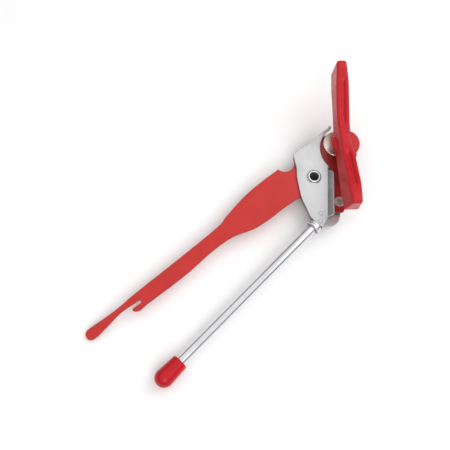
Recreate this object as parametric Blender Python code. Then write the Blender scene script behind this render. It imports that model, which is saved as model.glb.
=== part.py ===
"""Hand-held can opener with a butterfly key, a bottle opener and a forked lever end.

The opener is a pair of tongs. A chrome rod carries two steel cheeks, and a red
sheet lever swings between them on a hollow pivot rivet. The key turns a toothed
feed wheel on the lever; the round cutter sits on the rear cheek. Squeezing the
lever towards the rod brings feed wheel and cutter together over the tin's rim.

Frame: the origin is the flat rear face of the pivot rivet, +X runs from the
lever's tip to the key, +Z points out of the front cheek, towards the key.
Lengths below are in millimetres, and MM turns them into metres.
"""
import math

import bmesh
import bpy
from mathutils import Matrix, Vector

MM = 0.001

# ---------------------------------------------------------------- dimensions
GAP = 0.3                       # clearance between pieces that touch

# Heights of the stack, from the rear to the front
SHEET = 1.5                     # cheek thickness
LEVER_SHEET = 2.0
REAR_CHEEK_Z = 1.5              # rear face of the rear cheek
LEVER_Z = 4.4                   # rear face of the lever
FRONT_CHEEK_Z = LEVER_Z + LEVER_SHEET + GAP
FRONT_Z = FRONT_CHEEK_Z + SHEET
FLOOR_Z = -5.9                  # lowest point of shaft, cap and lever tip

# Joint axes in plan
KEY_X, KEY_Y = 32.8, 5.2
CUTTER_X, CUTTER_Y = 23.3, 17.6

# Pivot rivet
RIVET_HEAD_R = 5.6
RIVET_SHANK_R = 4.2
RIVET_BORE_R = 3.2
RIVET_FRONT_Z = FRONT_Z + 1.4
RIVET_HEAD = 1.2                # thickness of the rear head
RIVET_FLOOR = 1.6               # the bore is blind below this height
WASHER_R = 7.5

# Key: a hub with two wings that rise and flare outwards
KEY_TURN = math.radians(55.5)   # direction of the upper wing at rest
HUB_R = 10.5                    # at its front; the base is narrower
HUB_BASE_R = 7.4
HUB_Z = 9.4
HUB_FRONT_Z = 19.8
WING_LENGTH = 56.0
WING_OFFSET = 2.2               # the wings stand beside the shaft's centre
WING_FRONT_Z = 27.5             # front edge at the middle ...
WING_FRONT_RISE = 13.8          # ... and its rise to the tip
WING_REAR_Z = 13.5
WING_REAR_RISE = 9.0
WING_FRONT_HALF = 3.8           # half thickness at the front edge
WING_REAR_HALF = 6.5
WING_TWIST = 1.6                # the front face widens to one side of each wing ...
WING_TWIST_RUN = 20.0           # ... over this distance from the hub

# Shaft and wheels
SHAFT_R = 3.0
SHAFT_TOP = 22.0
SHAFT_SQUARE = 2.3              # half width of the square drive
THREAD_R = 2.0
KEY_WASHER_R = 6.5
SPACER_R = 4.6
NUT_R = 4.0                     # half the width across flats
NUT_HIGH = 1.5
FEED_R = 7.8
FEED_TEETH = 20
FEED_Z = -3.7
FEED_THICK = 2.2
CUTTER_R = 8.6
CUTTER_Z = -1.2
CUTTER_THICK = 1.3
CUTTER_BEVEL = 1.6
CUTTER_BORE_R = 4.0
STUD_R = 2.6
STUD_HEAD_R = 4.2
BUSH_FLANGE_R = 5.2

# Handle rod: an axis from the cheeks' edge to the cap's end
ROD_START = Vector((-20.5, -29.5, 4.9))
ROD_END = Vector((-181.8, -56.0, 0.85))
ROD_R = 3.5
CAP_R = 6.75
CAP_LENGTH = 22.5
DOME = 7.0
SOCKET_R = 4.7
SOCKET_FROM, SOCKET_TO = 0.9, 5.4
ROD_SEAT = 2.2                  # the barrel's blind bore starts here
COLLAR_R = 5.85
COLLAR_WAIST_R = 5.4
COLLAR_FROM, COLLAR_TO = 1.3, 5.0

# Lever
BEND_X = -75.0                  # the shank is set back from here on
BEND_SLOPE = math.tan(math.radians(2.0))
CURL_X = -156.0                 # the long finger curls back from here on
CURL_LENGTH = 46.0
CURL_DROP = 5.9
EYE_X, EYE_Y, EYE_R = 28.2, 6.6, 15.2
DISC_X, DISC_Y, DISC_R = 31.4, 11.4, 10.0
BUSH_HOLE_R = 6.4
TAIL_HOLE = (3.8, -26.0)
TAIL_HOLE_R = 3.1
FLUSH = 0.05                    # clearance under the eyelet's thin front flange
FLANGE = 0.18
SCOOP_X, SCOOP_Y, SCOOP_R = -10.2, 22.2, 7.4

# Cheeks
NOTCH_X, NOTCH_Y, NOTCH_R = 34.4, 3.4, 20.0
FOLD_TOP = Vector((12.5, -1.1))
FOLD_BOTTOM = Vector((-11.3, -30.1))
LIP_ANGLE = math.radians(55.0)
LIP_TOP = 5.4                   # width of the lip at the fold's upper end ...
LIP_BOTTOM = 6.2                # ... and at its lower end
LIP_CORNER = 2.5                # set-back of its upper corner
SLOT_X, SLOT_Y, SLOT_R = 33.0, 2.2, 9.0
RIVETS = ((-14.2, -25.4), (-18.2, -30.0))
SMALL_RIVET_R = 1.5
SMALL_HEAD_R = 2.8

# ----------------------------------------------------------------- materials
PALETTE = {
    # name: (red, green, blue, roughness, metallic)
    "red_lacquer": (0.52, 0.035, 0.025, 0.35, 0.0),
    "red_plastic": (0.60, 0.015, 0.03, 0.22, 0.0),
    "satin_steel": (0.62, 0.62, 0.63, 0.38, 1.0),
    "chrome": (0.75, 0.75, 0.76, 0.12, 1.0),
    "hard_steel": (0.42, 0.41, 0.40, 0.3, 1.0),
}


def clear_scene():
    """Start from an empty scene."""
    for old in list(bpy.data.objects):
        bpy.data.objects.remove(old, do_unlink=True)


def make_material(name):
    """Return the Principled material of one palette entry."""
    red, green, blue, roughness, metallic = PALETTE[name]
    material = bpy.data.materials.get(name)
    if material is None:
        material = bpy.data.materials.new(name)
        material.use_nodes = True
        shader = material.node_tree.nodes["Principled BSDF"]
        shader.inputs["Base Color"].default_value = (red, green, blue, 1.0)
        shader.inputs["Roughness"].default_value = roughness
        shader.inputs["Metallic"].default_value = metallic
    return material


def finish_object(name, mesh_builder, material, location, sharp=40.0):
    """Turn a bmesh in millimetres into a named, smooth-shaded object.

    location is the object's origin in millimetres, and the mesh is written
    relative to it.
    """
    shift = Matrix.Translation(-Vector(location))
    bmesh.ops.transform(mesh_builder, matrix=Matrix.Scale(MM, 4) @ shift, verts=mesh_builder.verts)
    bmesh.ops.recalc_face_normals(mesh_builder, faces=mesh_builder.faces)
    mesh = bpy.data.meshes.new(name)
    mesh_builder.to_mesh(mesh)
    mesh_builder.free()
    mesh.shade_smooth()
    mesh.set_sharp_from_angle(angle=math.radians(sharp))
    mesh.materials.append(make_material(material))
    item = bpy.data.objects.new(name, mesh)
    item.location = Vector(location) * MM
    bpy.context.collection.objects.link(item)
    return item


# ------------------------------------------------------------ shape builders
def arc(centre_x, centre_y, radius, start, stop, count):
    """Points along a circular arc, angles in degrees."""
    points = []
    for step in range(count + 1):
        angle = math.radians(start + (stop - start) * step / count)
        points.append((centre_x + radius * math.cos(angle), centre_y + radius * math.sin(angle)))
    return points


def smooth(points, steps=3):
    """Catmull-Rom curve through points, with steps pieces in each span."""
    ends = [points[0]] + list(points) + [points[-1]]
    curve = []
    for index in range(1, len(ends) - 2):
        before, here, there, after = [Vector(ends[index + k]) for k in (-1, 0, 1, 2)]
        for step in range(steps):
            t = step / steps
            point = 2 * here + (there - before) * t
            point += (2 * before - 5 * here + 4 * there - after) * t * t
            point += (3 * here - before - 3 * there + after) * t ** 3
            curve.append(tuple(point / 2))
    curve.append(tuple(points[-1]))
    return curve


def sheet_mesh(outline, low, high, cuts=()):
    """A flat plate between two heights; cuts are X stations where it may bend."""
    builder = bmesh.new()
    corners = [builder.verts.new((x, y, low)) for x, y in outline]
    builder.faces.new(corners)
    for station in cuts:
        geometry = builder.verts[:] + builder.edges[:] + builder.faces[:]
        bmesh.ops.bisect_plane(builder, geom=geometry, plane_co=(station, 0, 0), plane_no=(1, 0, 0))
    bmesh.ops.triangulate(builder, faces=builder.faces[:])
    lower_faces = builder.faces[:]
    grown = bmesh.ops.extrude_face_region(builder, geom=lower_faces, use_keep_orig=True)
    moved = [item for item in grown["geom"] if isinstance(item, bmesh.types.BMVert)]
    bmesh.ops.translate(builder, verts=moved, vec=(0, 0, high - low))
    return builder


def radius_at(shape, radius, angle):
    """Distance from the axis to the outline of a round, square, hex or toothed section."""
    if shape == "square":
        return radius / max(abs(math.cos(angle)), abs(math.sin(angle)))
    if shape == "hex":
        sixth = math.pi / 3
        return radius / math.cos((angle + sixth / 2) % sixth - sixth / 2)
    if shape == "teeth":
        wave = math.cos(FEED_TEETH * angle)
        return radius - 0.9 * (0.5 - 0.5 * wave)
    return radius


def turned_mesh(sections, count=24, hollow=False):
    """Rings of count points stacked along Z.

    sections lists (height, radius, shape). A hollow piece's sections run up the
    outside and back down the inside, and the last ring joins the first.
    """
    builder = bmesh.new()
    rings = []
    for height, radius, shape in sections:
        ring = []
        for step in range(count):
            angle = 2 * math.pi * step / count
            reach = radius_at(shape, radius, angle)
            ring.append(builder.verts.new((reach * math.cos(angle), reach * math.sin(angle), height)))
        rings.append(ring)
    pairs = list(zip(rings, rings[1:]))
    if hollow:
        pairs.append((rings[-1], rings[0]))
    for below, above in pairs:
        for step in range(count):
            after = (step + 1) % count
            builder.faces.new((below[step], below[after], above[after], above[step]))
    if not hollow:
        builder.faces.new(list(reversed(rings[0])))
        builder.faces.new(rings[-1])
    return builder


def turned(name, sections, material, centre, count=24, hollow=False):
    """A turned piece standing on a vertical axis through centre."""
    builder = turned_mesh(sections, count, hollow)
    bmesh.ops.translate(builder, verts=builder.verts, vec=(centre[0], centre[1], 0))
    return finish_object(name, builder, material, (centre[0], centre[1], 0))


def rod_matrix():
    """Matrix whose Z axis runs along the handle rod, starting at the cheeks' edge."""
    along = (ROD_END - ROD_START).normalized()
    turn = along.to_track_quat("Z", "Y")
    return Matrix.Translation(ROD_START) @ turn.to_matrix().to_4x4()


def turned_on_rod(name, sections, material, count=24, hollow=False):
    """A turned piece on the handle rod's axis; heights count from the cheeks' edge."""
    builder = turned_mesh(sections, count, hollow)
    bmesh.ops.transform(builder, matrix=rod_matrix(), verts=builder.verts)
    return finish_object(name, builder, material, tuple(ROD_START))


def round_sections(*pairs):
    """Turn (height, radius) pairs into round sections."""
    return [(height, radius, "round") for height, radius in pairs]


def drill(target, centre, radius, low=-20.0, high=60.0, count=24):
    """Cut a round hole along Z through target with an exact Boolean."""
    builder = turned_mesh(round_sections((low, radius), (high, radius)), count)
    bmesh.ops.translate(builder, verts=builder.verts, vec=(centre[0], centre[1], 0))
    cutter = finish_object(target.name + "_drill", builder, "hard_steel", (0, 0, 0))
    cutter.hide_render = True
    cutter.display_type = "WIRE"
    cut = target.modifiers.new("drill", "BOOLEAN")
    cut.operation = "DIFFERENCE"
    cut.solver = "EXACT"
    cut.object = cutter
    return cutter


# -------------------------------------------------------------------- cheeks
def left_edge(inset=0.0):
    """Outer edge of a cheek from its bottom tip up to the bottle opener's lip."""
    points = [(-20.2, -34.6), (-21.4, -28.9), (-21.9, -23.2), (-20.1, -15.9), (-18.1, -7.9),
              (-14.7, -0.6), (-10.3, 7.6), (-6.1, 13.4), (-1.4, 23.2)]
    return [(x + inset, y) for x, y in smooth(points, 2)]


def front_cheek():
    """Front cheek: flat plate with a round notch and a folded lip along its right edge."""
    outline = list(reversed(left_edge()))
    outline += [(-13.2, -31.8), tuple(FOLD_BOTTOM), tuple(FOLD_TOP)]
    outline += arc(NOTCH_X, NOTCH_Y, NOTCH_R, 190.0, 84.0, 18)
    outline += [(37.2, 25.0), (36.0, 25.6)]
    outline = list(reversed(outline))
    builder = sheet_mesh(outline, FRONT_CHEEK_Z, FRONT_Z)
    fold = (FOLD_TOP - FOLD_BOTTOM).normalized()
    outward = Vector((fold.y, -fold.x, 0))
    for vert in builder.verts:
        near_fold = min((vert.co.xy - FOLD_TOP).length, (vert.co.xy - FOLD_BOTTOM).length) < 0.01
        if near_fold and vert.co.z < FRONT_CHEEK_Z + 0.01:
            vert.co += outward * SHEET * math.tan(LIP_ANGLE / 2)
    wall = [face for face in builder.faces if abs(face.normal.z) < 0.9]
    for face in wall:
        centre = face.calc_center_median().xy
        along = (centre - FOLD_BOTTOM).dot(fold)
        off = abs((centre - FOLD_BOTTOM).dot(outward.xy))
        if 1.0 < along < (FOLD_TOP - FOLD_BOTTOM).length - 1.0 and off < 1.0:
            grown = bmesh.ops.extrude_face_region(builder, geom=[face])
            lip = outward * math.cos(LIP_ANGLE) + Vector((0, 0, math.sin(LIP_ANGLE)))
            tips = [item for item in grown["geom"] if isinstance(item, bmesh.types.BMVert)]
            for tip in tips:
                if (tip.co.xy - FOLD_TOP).length < 2.0:
                    tip.co += lip * LIP_TOP - fold.to_3d() * LIP_CORNER
                else:
                    tip.co += lip * LIP_BOTTOM
            bmesh.ops.delete(builder, geom=[face], context="FACES_ONLY")
            break
    plate = finish_object("front_cheek", builder, "satin_steel", (0, 0, 0))
    drill(plate, (0, 0), RIVET_SHANK_R + GAP)
    for centre in RIVETS:
        drill(plate, centre, SMALL_RIVET_R + GAP)


def rear_cheek():
    """Rear cheek: carries the cutter and has an open slot for the shaft's swing."""
    outline = list(reversed(left_edge(0.6)))
    outline += arc(-8.6, -28.0, 9.6, 215.0, 352.0, 12)
    outline += [(4.6, -29.0), (6.9, -26.4), (8.4, -22.0), (15.0, -10.0), (25.5, -4.5)]
    outline += arc(SLOT_X, SLOT_Y, SLOT_R, 210.0, 115.0, 10)
    outline += [(31.5, 12.5), (31.5, 22.0), (29.5, 23.6)]
    builder = sheet_mesh(list(reversed(outline)), REAR_CHEEK_Z, REAR_CHEEK_Z + SHEET)
    plate = finish_object("rear_cheek", builder, "satin_steel", (0, 0, 0))
    drill(plate, (0, 0), RIVET_SHANK_R + GAP)
    drill(plate, (CUTTER_X, CUTTER_Y), STUD_R + GAP)
    for centre in RIVETS:
        drill(plate, centre, SMALL_RIVET_R + GAP)


def pivot_rivet():
    """Hollow pivot rivet: flat rear head, blind bore, flared rim at the front."""
    rim = RIVET_FRONT_Z
    profile = round_sections(
        (0.0, RIVET_HEAD_R - 0.4), (0.3, RIVET_HEAD_R), (RIVET_HEAD, RIVET_HEAD_R),
        (RIVET_HEAD, RIVET_SHANK_R),
        (FRONT_Z + GAP, RIVET_SHANK_R), (FRONT_Z + GAP, RIVET_HEAD_R - 0.4),
        (rim - 0.6, RIVET_HEAD_R - 0.1), (rim - 0.1, RIVET_HEAD_R - 0.7), (rim, 4.4),
        (rim - 0.2, 3.7), (rim - 0.9, RIVET_BORE_R), (RIVET_FLOOR, RIVET_BORE_R))
    turned("pivot_rivet", profile, "satin_steel", (0, 0))


def pivot_washer():
    """Washer between the rear cheek and the lever."""
    low = REAR_CHEEK_Z + SHEET + GAP
    high = LEVER_Z - GAP
    inner = RIVET_SHANK_R + GAP
    profile = round_sections((low, WASHER_R), (high, WASHER_R), (high, inner), (low, inner))
    turned("pivot_washer", profile, "hard_steel", (0, 0), hollow=True)


# -------------------------------------------------------------- handle rod
def rod_socket():
    """Socket: a flat tongue between the cheeks, joined to a short barrel for the rod."""
    low = REAR_CHEEK_Z + SHEET + GAP
    high = FRONT_CHEEK_Z - GAP
    outline = [(-10.4, -27.6), (-10.4, -23.5), (-13.5, -21.5), (-19.2, -23.5), (-21.8, -26.4),
               (-22.2, -32.8), (-18.8, -33.2)]
    tongue = finish_object("rod_socket", sheet_mesh(outline, low, high), "satin_steel", (0, 0, 0))
    barrel_mesh = turned_mesh(round_sections(
        (SOCKET_FROM, SOCKET_R), (SOCKET_TO, SOCKET_R), (SOCKET_TO, ROD_R + GAP),
        (ROD_SEAT, ROD_R + GAP)), 32)
    bmesh.ops.transform(barrel_mesh, matrix=rod_matrix(), verts=barrel_mesh.verts)
    barrel = finish_object("socket_barrel", barrel_mesh, "satin_steel", (0, 0, 0))
    barrel.hide_render = True
    barrel.display_type = "WIRE"
    union = tongue.modifiers.new("barrel", "BOOLEAN")
    union.operation = "UNION"
    union.solver = "EXACT"
    union.object = barrel
    for centre in RIVETS:
        drill(tongue, centre, SMALL_RIVET_R + GAP, 2.0, 7.5)


def rod_collar():
    """Pressed collar with two ridges around the socket's barrel."""
    inner = SOCKET_R + GAP
    profile = round_sections(
        (COLLAR_FROM, COLLAR_WAIST_R), (1.6, COLLAR_R), (2.6, COLLAR_R), (2.9, COLLAR_WAIST_R),
        (3.4, COLLAR_WAIST_R), (3.7, COLLAR_R), (4.7, COLLAR_R), (COLLAR_TO, COLLAR_WAIST_R),
        (COLLAR_TO, inner), (COLLAR_FROM, inner))
    turned_on_rod("rod_collar", profile, "chrome", 32, hollow=True)


def handle_rod():
    """Straight chrome rod from the socket into the end cap."""
    length = (ROD_END - ROD_START).length
    profile = round_sections((2.5, ROD_R - 0.5), (3.0, ROD_R), (length - 4.5, ROD_R),
                             (length - 4.0, ROD_R - 0.5))
    turned_on_rod("handle_rod", profile, "chrome", 24)


def end_cap():
    """Plastic cap: a blind sleeve that widens towards a domed end."""
    length = (ROD_END - ROD_START).length
    mouth = length - CAP_LENGTH
    outside = [(mouth, 5.2), (mouth + 0.6, 5.75), (mouth + 9.0, 6.3), (length - DOME, CAP_R)]
    for step in range(1, 6):
        angle = math.radians(90.0 * step / 6)
        outside.append((length - DOME + DOME * math.sin(angle), CAP_R * math.cos(angle)))
    outside.append((length, 0.8))
    inner = ROD_R + GAP
    profile = [(length - 3.4, inner), (mouth, inner)] + outside
    turned_on_rod("end_cap", round_sections(*profile), "red_plastic", 24)


def socket_rivets():
    """Small rivets that clamp both cheeks on the socket's tongue."""
    head = SMALL_HEAD_R
    profile = round_sections((0.4, head - 0.6), (0.7, head), (RIVET_HEAD, head),
                             (RIVET_HEAD, SMALL_RIVET_R), (FRONT_Z, SMALL_RIVET_R))
    for number, centre in enumerate(RIVETS, start=1):
        turned("socket_rivet_%d" % number, profile, "satin_steel", centre, 16)


# --------------------------------------------------------------------- lever
def lever_drop(x):
    """How far the lever's sheet is set back at station x."""
    shank = max(0.0, BEND_X - x) * BEND_SLOPE
    curl = CURL_DROP * (max(0.0, CURL_X - x) / CURL_LENGTH) ** 2
    return shank + curl


def lever_outline():
    """Outline of the lever, counterclockwise from the eye."""
    eye = arc(EYE_X, EYE_Y, EYE_R, -122.0, 95.0, 24)
    scoop = arc(SCOOP_X, SCOOP_Y, SCOOP_R, -12.0, -166.0, 12)
    upper = smooth([(-17.8, 20.6), (-33.0, 20.0), (-51.0, 18.0), (-71.0, 13.3), (-81.0, 10.4),
                    (-112.0, 7.8), (-158.0, 4.8), (-170.0, 3.6), (-182.0, 3.3), (-197.0, 3.9)])
    tip = arc(-197.9, 0.0, 3.9, 100.0, 260.0, 8)
    finger = smooth([(-194.7, -4.1), (-185.5, -2.6), (-173.5, -0.6), (-164.5, -0.6)], 2)
    slot = arc(-158.4, -1.9, 1.2, 90.0, -90.0, 6)
    nub = [(-165.0, -3.1), (-165.9, -3.8), (-165.4, -5.2), (-163.6, -6.6), (-161.0, -7.2)]
    lower = smooth([(-155.7, -6.5), (-121.0, -5.1), (-98.7, -2.5), (-86.0, -1.8), (-75.0, -2.5),
                    (-61.0, -6.0), (-48.0, -6.8), (-32.0, -6.0), (-17.0, -6.5), (-10.5, -11.0)])
    tail = [(-6.5, -20.0), (-4.9, -26.5), (-4.3, -30.2), (-1.5, -32.8), (1.8, -33.7),
            (5.2, -31.3), (8.3, -27.6), (13.5, -19.0)]
    return eye + [(0.0, 21.2)] + scoop + upper + tip + finger + slot + nub + lower + tail


def lever():
    """Red sheet lever with bottle opener, forked end, eye for the bush and a tail."""
    stations = [BEND_X - 10.0 * step for step in range(8)]
    stations += [CURL_X - 6.0 * step for step in range(8)]
    builder = sheet_mesh(lever_outline(), LEVER_Z, LEVER_Z + LEVER_SHEET, stations)
    for vert in builder.verts:
        vert.co.z -= lever_drop(vert.co.x)
    sheet = finish_object("lever", builder, "red_lacquer", (0, 0, 0))
    drill(sheet, (0, 0), RIVET_SHANK_R + GAP)
    drill(sheet, (KEY_X, KEY_Y), BUSH_HOLE_R)
    drill(sheet, TAIL_HOLE, TAIL_HOLE_R)


def lever_bush():
    """Bearing bush of the drive shaft."""
    outer = BUSH_HOLE_R - GAP
    inner = SHAFT_R + GAP
    low = LEVER_Z
    high = LEVER_Z + LEVER_SHEET + GAP
    profile = round_sections((low, outer), (high - 0.05, outer), (high - 0.05, inner), (low, inner))
    turned("lever_bush", profile, "hard_steel", (KEY_X, KEY_Y), hollow=True)


def eccentric_disc():
    """Steel disc on the lever, eccentric to the shaft, seen in the cheek's notch."""
    low = LEVER_Z + LEVER_SHEET + GAP
    profile = round_sections((low, DISC_R), (low + 0.9, DISC_R), (low + 1.0, DISC_R - 0.2))
    disc = turned("eccentric_disc", profile, "hard_steel", (DISC_X, DISC_Y), 32)
    drill(disc, (KEY_X, KEY_Y), SHAFT_R + GAP)


def hang_eyelet():
    """Rolled eyelet in the lever's tail."""
    low = LEVER_Z - GAP
    high = LEVER_Z + LEVER_SHEET + FLUSH
    tube = TAIL_HOLE_R - GAP
    profile = round_sections(
        (low - 0.5, 3.6), (low, 3.9), (low, tube), (high, tube), (high, 3.9), (high + 0.12, 3.8),
        (high + FLANGE, 3.2), (high + 0.12, 2.3), (low - 0.5, 2.2))
    turned("hang_eyelet", profile, "satin_steel", TAIL_HOLE, hollow=True)


# ----------------------------------------------------------------------- key
def rise(share):
    """Smooth step from 0 to 1."""
    return share * share * (3 - 2 * share)


def wing_section(u):
    """Corners (v, z) of the key's cross-section at distance u along the wings."""
    share = min(1.0, abs(u) / WING_LENGTH)
    front = WING_FRONT_Z + WING_FRONT_RISE * rise(share)
    rear = WING_REAR_Z + WING_REAR_RISE * (1 - (1 - share) ** 2)
    tip = max(0.0, (share - 0.9) / 0.1)
    near = WING_FRONT_HALF - 0.8 * tip
    far = WING_REAR_HALF - 0.8 * tip
    round_off = 0.8
    widen = WING_TWIST * rise(min(1.0, abs(u) / WING_TWIST_RUN))
    left = near + (widen if u > 0 else 0.0)
    right = near + (widen if u < 0 else 0.0)
    return [(-far, rear), (far, rear), (left, front - round_off), (left - round_off, front),
            (round_off - right, front), (-right, front - round_off)]


def turning_key():
    """Butterfly key: round hub with two wings that rise towards their tips."""
    builder = bmesh.new()
    rings = []
    stations = [-1.0, -0.96, -0.8, -0.6, -0.4, -0.2, 0.0, 0.2, 0.4, 0.6, 0.8, 0.96, 1.0]
    for share in stations:
        u = share * WING_LENGTH
        ring = []
        for v, z in wing_section(u):
            lean = 1.0
            if abs(share) == 1.0:
                lean = 1.0 - 0.035 * (WING_FRONT_Z + WING_FRONT_RISE - z) / 18.8
            ring.append(builder.verts.new((u * lean, v + WING_OFFSET, z)))
        rings.append(ring)
    for before, after in zip(rings, rings[1:]):
        for step in range(len(before)):
            beside = (step + 1) % len(before)
            builder.faces.new((before[step], before[beside], after[beside], after[step]))
    builder.faces.new(list(reversed(rings[0])))
    builder.faces.new(rings[-1])
    bmesh.ops.triangulate(builder, faces=builder.faces[:])
    place = Matrix.Translation((KEY_X, KEY_Y, 0)) @ Matrix.Rotation(KEY_TURN, 4, "Z")
    bmesh.ops.transform(builder, matrix=place, verts=builder.verts)
    key = finish_object("turning_key", builder, "red_plastic", (KEY_X, KEY_Y, 0))
    hub_mesh = turned_mesh(round_sections(
        (HUB_Z, HUB_BASE_R), (HUB_Z + 2.5, HUB_BASE_R), (HUB_FRONT_Z - 3.5, HUB_R),
        (HUB_FRONT_Z - 1.2, HUB_R), (HUB_FRONT_Z - 0.3, HUB_R - 0.6),
        (HUB_FRONT_Z, HUB_R - 2.0)), 32)
    bmesh.ops.translate(hub_mesh, verts=hub_mesh.verts, vec=(KEY_X, KEY_Y, 0))
    hub = finish_object("key_hub", hub_mesh, "red_plastic", (KEY_X, KEY_Y, 0))
    hub.hide_render = True
    hub.display_type = "WIRE"
    union = key.modifiers.new("hub", "BOOLEAN")
    union.operation = "UNION"
    union.solver = "EXACT"
    union.object = hub
    drill(key, (KEY_X, KEY_Y), SHAFT_R + GAP, 0.0, SHAFT_TOP + GAP)


def key_washer():
    """Thrust washer between the eccentric disc and the key's hub."""
    low = LEVER_Z + LEVER_SHEET + GAP + 1.0 + GAP
    high = HUB_Z - GAP
    inner = SHAFT_R + GAP
    profile = round_sections((low, KEY_WASHER_R), (high, KEY_WASHER_R), (high, inner), (low, inner))
    turned("key_washer", profile, "hard_steel", (KEY_X, KEY_Y), hollow=True)


def drive_shaft():
    """Shaft: threaded end, square drive for the feed wheel, round body into the key."""
    square = FEED_Z + FEED_THICK
    profile = [(FLOOR_Z, THREAD_R, "round"), (FEED_Z, THREAD_R, "round"),
               (FEED_Z, SHAFT_SQUARE, "square"), (square, SHAFT_SQUARE, "square"),
               (square, SHAFT_R, "round"), (SHAFT_TOP, SHAFT_R, "round")]
    turned("drive_shaft", profile, "hard_steel", (KEY_X, KEY_Y))


def feed_spacer():
    """Spacer sleeve between the lever and the feed wheel."""
    low = FEED_Z + FEED_THICK + GAP
    high = LEVER_Z - GAP
    inner = SHAFT_R + GAP
    profile = round_sections((low, SPACER_R), (high, SPACER_R), (high, inner), (low, inner))
    turned("feed_spacer", profile, "hard_steel", (KEY_X, KEY_Y), hollow=True)


def feed_wheel():
    """Toothed wheel that drives the tin's rim."""
    low = FEED_Z
    high = FEED_Z + FEED_THICK - 0.05
    hole = SHAFT_SQUARE + GAP
    profile = [(low, FEED_R, "teeth"), (high, FEED_R, "teeth"), (high, hole, "square"), (low, hole, "square")]
    turned("feed_wheel", profile, "hard_steel", (KEY_X, KEY_Y), 80, hollow=True)


def feed_wheel_nut():
    """Hexagon nut that holds the feed wheel."""
    low, high = FEED_Z - GAP - NUT_HIGH, FEED_Z - GAP
    inner = THREAD_R + GAP
    profile = [(low, NUT_R, "hex"), (high, NUT_R, "hex"), (high, inner, "round"), (low, inner, "round")]
    turned("feed_wheel_nut", profile, "satin_steel", (KEY_X, KEY_Y), hollow=True)


# -------------------------------------------------------------------- cutter
def cutter_stud():
    """Stud that carries the cutter on the rear cheek."""
    cheek_front = REAR_CHEEK_Z + SHEET + GAP
    low = CUTTER_Z - GAP - NUT_HIGH - GAP
    profile = round_sections((low, THREAD_R), (CUTTER_Z - GAP, THREAD_R), (CUTTER_Z - GAP, STUD_R),
                             (cheek_front, STUD_R), (cheek_front, STUD_HEAD_R),
                             (LEVER_Z - GAP, STUD_HEAD_R))
    turned("cutter_stud", profile, "hard_steel", (CUTTER_X, CUTTER_Y))


def cutter_bush():
    """Flanged bush that the cutter turns on."""
    high = REAR_CHEEK_Z - GAP
    flange = CUTTER_Z + CUTTER_THICK + GAP
    inner = STUD_R + GAP
    profile = round_sections((CUTTER_Z, CUTTER_BORE_R), (flange, CUTTER_BORE_R),
                             (flange, BUSH_FLANGE_R), (high, BUSH_FLANGE_R), (high, inner),
                             (CUTTER_Z, inner))
    turned("cutter_bush", profile, "hard_steel", (CUTTER_X, CUTTER_Y), hollow=True)


def cutter_wheel():
    """Round cutter with its bevelled edge."""
    low, high = CUTTER_Z, CUTTER_Z + CUTTER_THICK
    inner = CUTTER_BORE_R + GAP
    profile = round_sections((low, CUTTER_R - 0.1), (low + 0.2, CUTTER_R), (high, CUTTER_R - CUTTER_BEVEL),
                             (high, inner), (low, inner))
    turned("cutter_wheel", profile, "hard_steel", (CUTTER_X, CUTTER_Y), 40, hollow=True)


def cutter_nut():
    """Nut that holds the cutter on its stud."""
    high = CUTTER_Z - GAP - GAP
    low = high - NUT_HIGH + GAP
    inner = THREAD_R + GAP
    profile = [(low, NUT_R, "hex"), (high, NUT_R, "hex"), (high, inner, "round"), (low, inner, "round")]
    turned("cutter_nut", profile, "satin_steel", (CUTTER_X, CUTTER_Y), hollow=True)


def main():
    """Build every piece."""
    clear_scene()
    for piece in (front_cheek, rear_cheek, pivot_rivet, pivot_washer, rod_socket, rod_collar,
                  handle_rod, end_cap, socket_rivets, lever, lever_bush, eccentric_disc,
                  hang_eyelet, turning_key, key_washer, drive_shaft, feed_spacer, feed_wheel,
                  feed_wheel_nut, cutter_stud, cutter_bush, cutter_wheel, cutter_nut):
        piece()


main()
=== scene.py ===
# %% [markdown]
# # A tongs-type can opener
# The opener is sheet steel, a chrome rod and two moulded plastic pieces. This file dresses the packed
# CAD model: every piece that shows is rebuilt as a smooth surface in the same place, and every piece
# gets a finish made of shader nodes. Lengths are written in millimetres and turned into metres by MM.

# %% Load the frame
import math

import bmesh
import bpy
import numpy as np
from mathutils import Matrix, Vector


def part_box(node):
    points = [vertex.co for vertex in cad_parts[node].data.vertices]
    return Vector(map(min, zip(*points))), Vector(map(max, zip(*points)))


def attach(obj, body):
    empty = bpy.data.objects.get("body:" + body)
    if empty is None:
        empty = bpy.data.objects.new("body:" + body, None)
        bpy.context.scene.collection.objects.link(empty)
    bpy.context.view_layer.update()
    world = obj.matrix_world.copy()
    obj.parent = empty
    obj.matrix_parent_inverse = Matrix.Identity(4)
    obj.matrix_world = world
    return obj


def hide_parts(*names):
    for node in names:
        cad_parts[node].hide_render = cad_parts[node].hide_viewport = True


MM = 0.001
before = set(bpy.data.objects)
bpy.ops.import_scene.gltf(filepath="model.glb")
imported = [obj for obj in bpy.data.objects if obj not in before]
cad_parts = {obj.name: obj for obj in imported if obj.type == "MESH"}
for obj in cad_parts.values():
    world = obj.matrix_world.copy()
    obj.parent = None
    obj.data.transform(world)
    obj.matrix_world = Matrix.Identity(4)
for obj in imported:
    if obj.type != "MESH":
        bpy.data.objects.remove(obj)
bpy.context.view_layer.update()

# %% [markdown]
# ## Where things are
# A piece is rebuilt round its own axis, so the first thing to know is where each axis stands. The CAD
# nodes' boxes say it: the middle of a turned piece's box is its axis, and the box's lowest and
# highest corner give its radius and its two ends.

# %% Axes and heights from the CAD boxes
def span(node):
    """Lowest and highest corner of a CAD node in millimetres."""
    low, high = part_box(node)
    return np.array(low) / MM, np.array(high) / MM


def axis_of(node):
    """Plan position of a turned piece's axis: half way between the two corners."""
    low, high = span(node)
    return (low[:2] + high[:2]) / 2


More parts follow.
